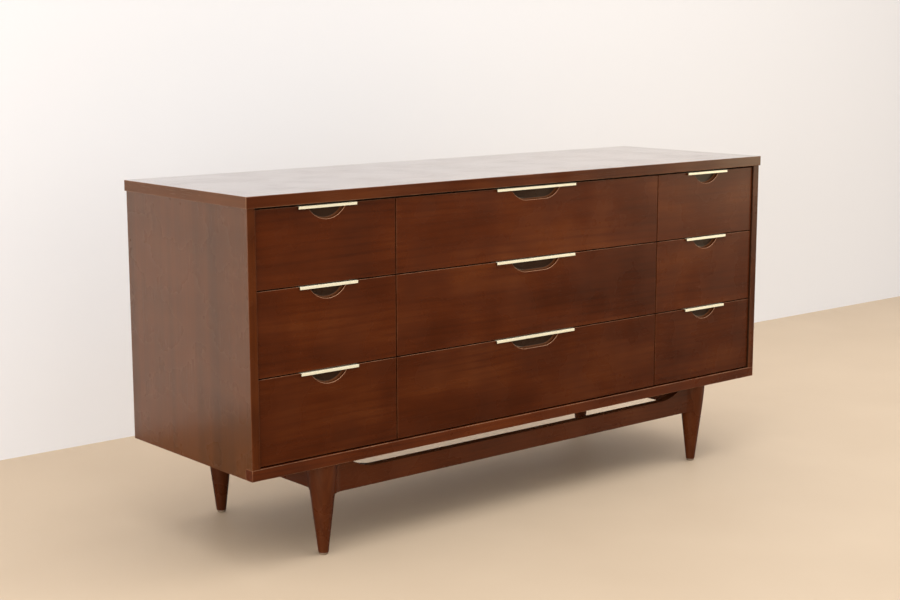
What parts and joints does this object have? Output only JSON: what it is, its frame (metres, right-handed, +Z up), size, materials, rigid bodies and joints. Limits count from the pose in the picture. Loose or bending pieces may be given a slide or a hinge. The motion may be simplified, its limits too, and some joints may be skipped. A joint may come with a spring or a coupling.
{
  "type": "dresser with drawers",
  "caption": "Long low walnut dresser with inset drawers in a wide middle and two narrow columns, brass edge pulls over finger scoops, and a turned-leg base.",
  "frame": {"origin": "on the floor, under the middle of the top", "axes": "+X to the right of someone facing the drawers, +Y to the back, +Z up"},
  "size_m": [1.575, 0.483, 0.781],
  "materials": {
    "walnut_case": "semi-gloss lacquered walnut veneer, reddish brown",
    "walnut_front": "semi-gloss lacquered walnut, horizontal figure, dark reddish brown",
    "walnut_base": "semi-gloss lacquered solid walnut, dark brown",
    "case_wood": "planed secondary hardwood, light stain, matt",
    "drawer_wood": "planed oak, clear matt lacquer",
    "plywood": "thin plywood, clear matt lacquer",
    "back_board": "brown hardboard, smooth face, matt",
    "brass": "satin brass, lightly worn",
    "steel": "zinc-plated steel",
    "glide": "pale moulded glide"
  },
  "bodies": {
    "case": {"top_panel": "walnut_case", "side_panel_left": "walnut_case", "side_panel_right": "walnut_case", "bottom_panel": "case_wood", "bottom_front_rail": "walnut_case", "partition_left": "case_wood", "partition_right": "case_wood", "back_panel": "back_board", "front_web_rails": "case_wood", "rear_web_rails": "case_wood", "drawer_runners": "case_wood", "centre_guides": "drawer_wood", "assembly_screws": "steel", "back_panel_screws": "steel", "leg_front_left": "walnut_base", "leg_front_right": "walnut_base", "leg_rear_left": "walnut_base", "leg_rear_right": "walnut_base", "base_front_rail": "walnut_base", "base_rear_rail": "walnut_base", "base_side_rail_left": "walnut_base", "base_side_rail_right": "walnut_base", "foot_glides": "glide", "corner_blocks": "case_wood"},
    "drawer_bottom_left": {"drawer_bottom_left_front": "walnut_front", "drawer_bottom_left_box": "drawer_wood", "drawer_bottom_left_bottom": "plywood", "drawer_bottom_left_pull": "brass"},
    "drawer_bottom_centre": {"drawer_bottom_centre_front": "walnut_front", "drawer_bottom_centre_box": "drawer_wood", "drawer_bottom_centre_bottom": "plywood", "drawer_bottom_centre_pull": "brass"},
    "drawer_bottom_right": {"drawer_bottom_right_front": "walnut_front", "drawer_bottom_right_box": "drawer_wood", "drawer_bottom_right_bottom": "plywood", "drawer_bottom_right_pull": "brass"},
    "drawer_middle_left": {"drawer_middle_left_front": "walnut_front", "drawer_middle_left_box": "drawer_wood", "drawer_middle_left_bottom": "plywood", "drawer_middle_left_pull": "brass"},
    "drawer_middle_centre": {"drawer_middle_centre_front": "walnut_front", "drawer_middle_centre_box": "drawer_wood", "drawer_middle_centre_bottom": "plywood", "drawer_middle_centre_pull": "brass"},
    "drawer_middle_right": {"drawer_middle_right_front": "walnut_front", "drawer_middle_right_box": "drawer_wood", "drawer_middle_right_bottom": "plywood", "drawer_middle_right_pull": "brass"},
    "drawer_top_left": {"drawer_top_left_front": "walnut_front", "drawer_top_left_box": "drawer_wood", "drawer_top_left_bottom": "plywood", "drawer_top_left_pull": "brass"},
    "drawer_top_centre": {"drawer_top_centre_front": "walnut_front", "drawer_top_centre_box": "drawer_wood", "drawer_top_centre_bottom": "plywood", "drawer_top_centre_pull": "brass"},
    "drawer_top_right": {"drawer_top_right_front": "walnut_front", "drawer_top_right_box": "drawer_wood", "drawer_top_right_bottom": "plywood", "drawer_top_right_pull": "brass"}
  },
  "joints": [
    {"name": "drawer_bottom_left_slide", "type": "slide", "parent": "case", "child": "drawer_bottom_left", "axis": [0, -1, 0], "range_m": [0, 0.32]},
    {"name": "drawer_bottom_centre_slide", "type": "slide", "parent": "case", "child": "drawer_bottom_centre", "axis": [0, -1, 0], "range_m": [0, 0.32]},
    {"name": "drawer_bottom_right_slide", "type": "slide", "parent": "case", "child": "drawer_bottom_right", "axis": [0, -1, 0], "range_m": [0, 0.32]},
    {"name": "drawer_middle_left_slide", "type": "slide", "parent": "case", "child": "drawer_middle_left", "axis": [0, -1, 0], "range_m": [0, 0.32]},
    {"name": "drawer_middle_centre_slide", "type": "slide", "parent": "case", "child": "drawer_middle_centre", "axis": [0, -1, 0], "range_m": [0, 0.32]},
    {"name": "drawer_middle_right_slide", "type": "slide", "parent": "case", "child": "drawer_middle_right", "axis": [0, -1, 0], "range_m": [0, 0.32]},
    {"name": "drawer_top_left_slide", "type": "slide", "parent": "case", "child": "drawer_top_left", "axis": [0, -1, 0], "range_m": [0, 0.32]},
    {"name": "drawer_top_centre_slide", "type": "slide", "parent": "case", "child": "drawer_top_centre", "axis": [0, -1, 0], "range_m": [0, 0.32]},
    {"name": "drawer_top_right_slide", "type": "slide", "parent": "case", "child": "drawer_top_right", "axis": [0, -1, 0], "range_m": [0, 0.32]}
  ]
}
